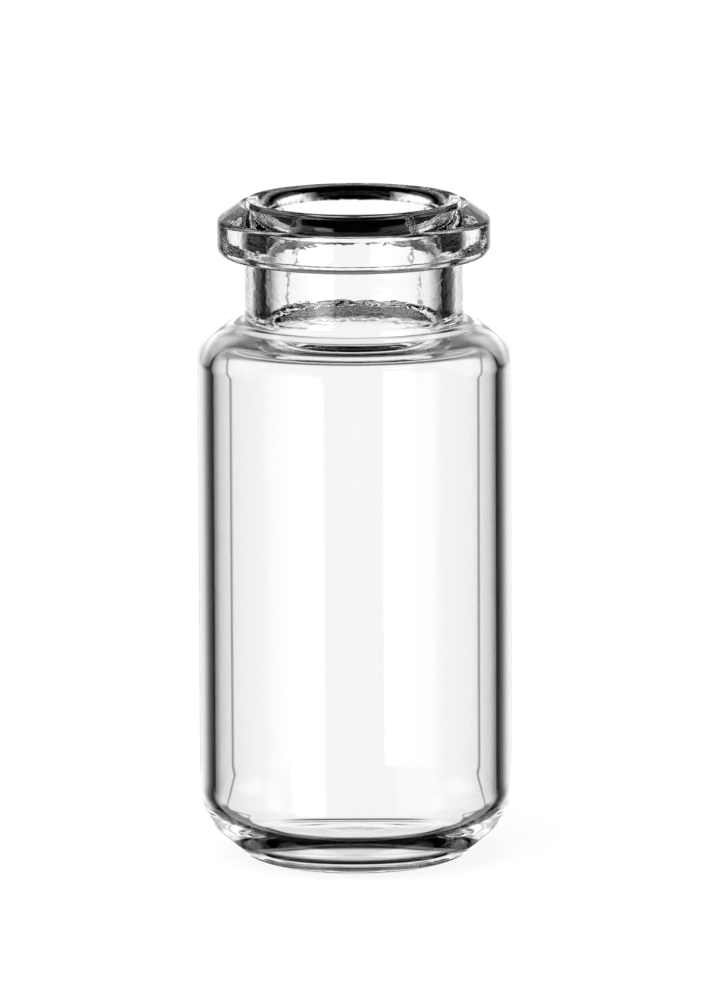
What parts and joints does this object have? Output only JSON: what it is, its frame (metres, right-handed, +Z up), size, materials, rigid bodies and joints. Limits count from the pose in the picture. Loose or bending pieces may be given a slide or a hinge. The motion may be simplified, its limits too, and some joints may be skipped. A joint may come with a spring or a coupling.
{
  "type": "glass sample vial",
  "caption": "Open clear glass vial with a rounded heel, a short straight neck and a sloped lip that a cap is crimped over.",
  "frame": {"origin": "centre of the underside, in the plane of the foot ring it stands on", "axes": "+Z up the vial's axis, out of the mouth; X and Y are any two square directions, as the vial is round"},
  "size_m": [0.023, 0.023, 0.0489],
  "materials": {
    "clear_glass": "clear, colourless tubing glass, fire-polished all over"
  },
  "bodies": {
    "root": {"vial": "clear_glass"}
  },
  "joints": []
}
